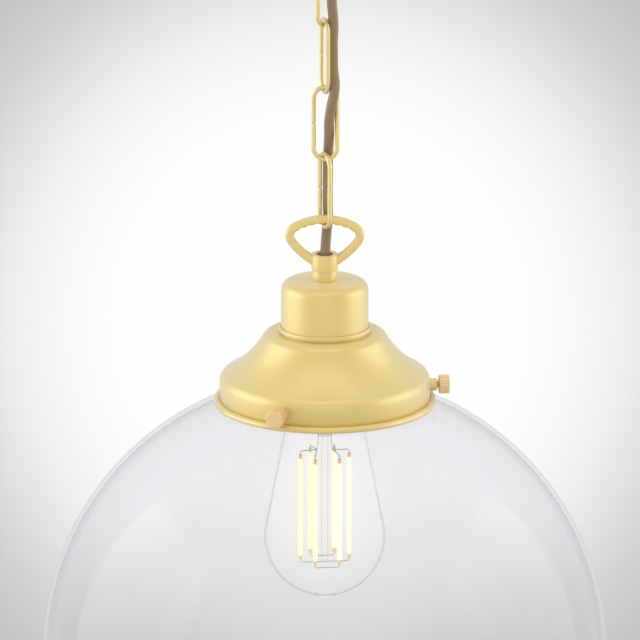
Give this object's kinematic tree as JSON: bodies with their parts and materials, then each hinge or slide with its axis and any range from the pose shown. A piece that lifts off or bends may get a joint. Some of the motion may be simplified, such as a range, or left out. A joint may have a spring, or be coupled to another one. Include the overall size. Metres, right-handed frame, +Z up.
{
  "type": "globe pendant light",
  "caption": "Clear glass globe hung under a spun brass gallery on a short brass chain with a laced flex, with a filament-style lamp and a domed ceiling rose.",
  "frame": {"origin": "middle of the ceiling bracket, on the ceiling's surface", "axes": "+Z up into the ceiling, X to the right and Y away as the light is seen in the usual view; it hangs towards -Z"},
  "size_m": [0.3, 0.3, 0.6059],
  "materials": {
    "satin_brass": "satin, finely brushed and lacquered",
    "screw_brass": "turned, a little redder than the sheet brass",
    "zinc_steel": "zinc plated",
    "white_nylon": "moulded nylon",
    "brown_core": "smooth insulation",
    "blue_core": "smooth insulation",
    "green_core": "smooth insulation, green with a yellow stripe",
    "flex_sheath": "smooth taupe sheath, softly glossy",
    "clear_glass": "clear blown glass",
    "lamp_glass": "thin clear glass",
    "porcelain": "white glazed porcelain",
    "black_glass": "black glass of the lamp's cap",
    "phosphor": "pale yellow phosphor, glowing when lit"
  },
  "bodies": {
    "fixture": {"ceiling_bracket": "zinc_steel", "ceiling_rose": "satin_brass", "rose_screws": "screw_brass", "terminal_block": "white_nylon", "terminal_screws": "zinc_steel", "upper_loop": "satin_brass", "upper_ring": "satin_brass", "upper_nipple": "satin_brass", "upper_nut": "satin_brass", "upper_grip": "white_nylon", "upper_live": "brown_core", "upper_neutral": "blue_core", "upper_earth": "green_core", "upper_tail": "flex_sheath", "flex_1": "flex_sheath"},
    "chain_4": {"link_4": "satin_brass", "flex_2": "flex_sheath"},
    "chain_3": {"link_3": "satin_brass", "flex_3": "flex_sheath"},
    "chain_2": {"link_2": "satin_brass", "flex_4": "flex_sheath"},
    "chain_1": {"link_1": "satin_brass", "flex_5": "flex_sheath"},
    "light": {"lower_loop": "satin_brass", "lower_ring": "satin_brass", "lower_nipple": "satin_brass", "lower_nut": "satin_brass", "lower_washer": "zinc_steel", "earth_tag": "screw_brass", "lower_grip": "white_nylon", "lower_tail": "flex_sheath", "lower_live": "brown_core", "lower_neutral": "blue_core", "lower_earth": "green_core", "holder_cover": "satin_brass", "foot_ring": "satin_brass", "gallery": "satin_brass", "screw_bushes": "satin_brass", "glass_globe": "clear_glass", "holder_body": "porcelain", "holder_shell": "screw_brass", "holder_contact": "screw_brass", "holder_terminals": "screw_brass", "holder_screws": "zinc_steel", "shade_ring": "porcelain"},
    "tip_1": {"screw_tip_1": "white_nylon"},
    "tip_2": {"screw_tip_2": "white_nylon"},
    "tip_3": {"screw_tip_3": "white_nylon"},
    "screw_1": {"thumb_screw_1": "screw_brass"},
    "screw_2": {"thumb_screw_2": "screw_brass"},
    "screw_3": {"thumb_screw_3": "screw_brass"},
    "lamp": {"lamp_cap": "screw_brass", "lamp_insulator": "black_glass", "lamp_contact": "zinc_steel", "lamp_glass": "lamp_glass", "lamp_stem": "lamp_glass", "lamp_wires": "zinc_steel", "lamp_filaments": "phosphor"}
  },
  "joints": [
    {"name": "link_4_swing", "type": "hinge", "parent": "fixture", "child": "chain_4", "pos_m": [0, 0, -0.0726], "axis": [-0.7986, 0.6018, 0], "range_deg": [-20, 20], "deforming": ["flex_1"]},
    {"name": "link_3_swing", "type": "hinge", "parent": "chain_4", "child": "chain_3", "pos_m": [0, 0, -0.1085], "axis": [0.6018, 0.7986, 0], "range_deg": [-20, 20], "deforming": ["flex_2"]},
    {"name": "link_2_swing", "type": "hinge", "parent": "chain_3", "child": "chain_2", "pos_m": [-0.0001, 0, -0.14545], "axis": [0.2588, -0.9659, 0], "range_deg": [-20, 20], "deforming": ["flex_3"]},
    {"name": "link_1_swing", "type": "hinge", "parent": "chain_2", "child": "chain_1", "pos_m": [0, 0, -0.1824], "axis": [1, 0, 0], "range_deg": [-20, 20], "deforming": ["flex_4"]},
    {"name": "light_swing", "type": "hinge", "parent": "chain_1", "child": "light", "pos_m": [0, 0, -0.21935], "axis": [0.4226, -0.9063, 0], "range_deg": [-20, 20], "deforming": ["flex_5"]},
    {"name": "tip_1_slide", "type": "slide", "parent": "light", "child": "tip_1", "axis": [0.9945, 0.1045, 0], "range_m": [0, 0.004]},
    {"name": "screw_1_turn", "type": "hinge", "parent": "tip_1", "child": "screw_1", "pos_m": [0, 0, -0.30845], "axis": [0.9945, 0.1045, 0], "range_deg": [0, 2057.2]},
    {"name": "tip_2_slide", "type": "slide", "parent": "light", "child": "tip_2", "axis": [-0.5878, 0.809, 0], "range_m": [0, 0.004]},
    {"name": "screw_2_turn", "type": "hinge", "parent": "tip_2", "child": "screw_2", "pos_m": [0, 0, -0.30845], "axis": [-0.5878, 0.809, 0], "range_deg": [0, 2057.2]},
    {"name": "tip_3_slide", "type": "slide", "parent": "light", "child": "tip_3", "axis": [-0.4067, -0.9135, 0], "range_m": [0, 0.004]},
    {"name": "screw_3_turn", "type": "hinge", "parent": "tip_3", "child": "screw_3", "pos_m": [0, 0, -0.30845], "axis": [-0.4067, -0.9135, 0], "range_deg": [0, 2057.2]},
    {"name": "lamp_draw", "type": "slide", "parent": "light", "child": "lamp", "axis": [0, 0, -1], "range_m": [0, 0.026]}
  ],
  "couplings": [
    {"joint": "screw_1_turn", "follows": "tip_1_slide", "rad_per_m": 8976},
    {"joint": "screw_2_turn", "follows": "tip_2_slide", "rad_per_m": 8976},
    {"joint": "screw_3_turn", "follows": "tip_3_slide", "rad_per_m": 8976}
  ]
}
